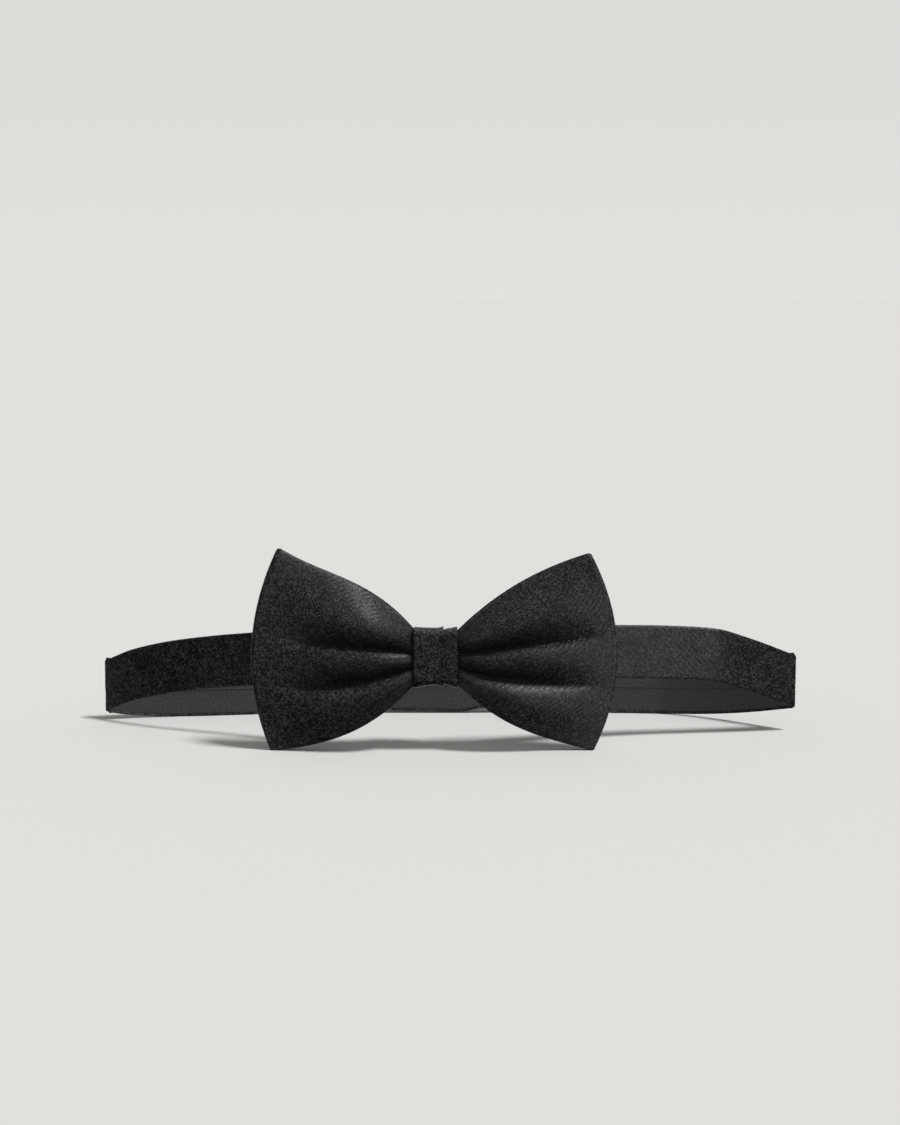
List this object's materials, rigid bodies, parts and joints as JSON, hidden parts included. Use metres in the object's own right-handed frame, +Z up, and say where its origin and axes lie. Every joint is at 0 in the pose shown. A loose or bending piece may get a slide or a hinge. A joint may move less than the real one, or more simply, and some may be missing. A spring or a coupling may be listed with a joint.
{
  "type": "bow tie",
  "caption": "Ready-tied satin bow tie: a pleated two-wing bow and wrapped knot on a flat neck band that closes behind with a hook, an eye and a slider.",
  "frame": {"origin": "middle of the part's footprint, on the surface it stands on", "axes": "+X towards the wearer's left, +Y from the bow towards the back of the neck, +Z up"},
  "size_m": [0.2388, 0.0718, 0.0669],
  "materials": {
    "satin": "black satin, soft sheen",
    "satin_back": "matte dark grey back of the satin",
    "interlining": "matte woven interlining",
    "thread": "black sewing thread",
    "nickel": "nickel-plated, softly polished"
  },
  "bodies": {
    "bow": {"bow_loop_satin": "satin", "bow_loop_interlining": "interlining", "bow_loop_lining": "satin_back", "loop_joining_stitches": "thread", "waist_thread": "thread", "knot_wrap": "satin", "knot_interlining": "interlining", "knot_stitches": "thread"},
    "band": {"front_band_satin": "satin", "front_band_interlining": "interlining", "front_band_lining": "satin_back"},
    "left_tail": {"left_band_satin": "satin", "left_band_interlining": "interlining", "left_band_lining": "satin_back", "eye_end_loop": "satin", "eye_bartack": "thread"},
    "eye": {"eye_ring": "nickel"},
    "right_tail": {"right_band_satin": "satin", "right_band_interlining": "interlining", "right_band_lining": "satin_back", "return_run": "satin", "tail_bartack": "thread"},
    "slider": {"slider_frame": "nickel"},
    "hook": {"hook": "nickel"}
  },
  "joints": [
    {"name": "band_slide", "type": "slide", "parent": "bow", "child": "band", "axis": [1, 0, 0], "range_m": [-0.012, 0.012]},
    {"name": "left_fold", "type": "hinge", "parent": "band", "child": "left_tail", "pos_m": [-0.11912, 0.0192, 0.012], "axis": [0, 0, 1], "range_deg": [0, 110]},
    {"name": "right_fold", "type": "hinge", "parent": "band", "child": "right_tail", "pos_m": [0.11928, 0.0012, 0.017], "axis": [0, 0, 1], "range_deg": [0, 12]},
    {"name": "slider_slide", "type": "slide", "parent": "right_tail", "child": "slider", "axis": [1, 0, 0], "range_m": [-0.009, 0.009]},
    {"name": "hook_slide", "type": "slide", "parent": "right_tail", "child": "hook", "axis": [1, 0, 0], "range_m": [0, 0.005]},
    {"name": "eye_swing", "type": "hinge", "parent": "left_tail", "child": "eye", "pos_m": [-0.04913, 0.0326, 0.01065], "axis": [0, 0, 1], "range_deg": [0, 60]}
  ]
}
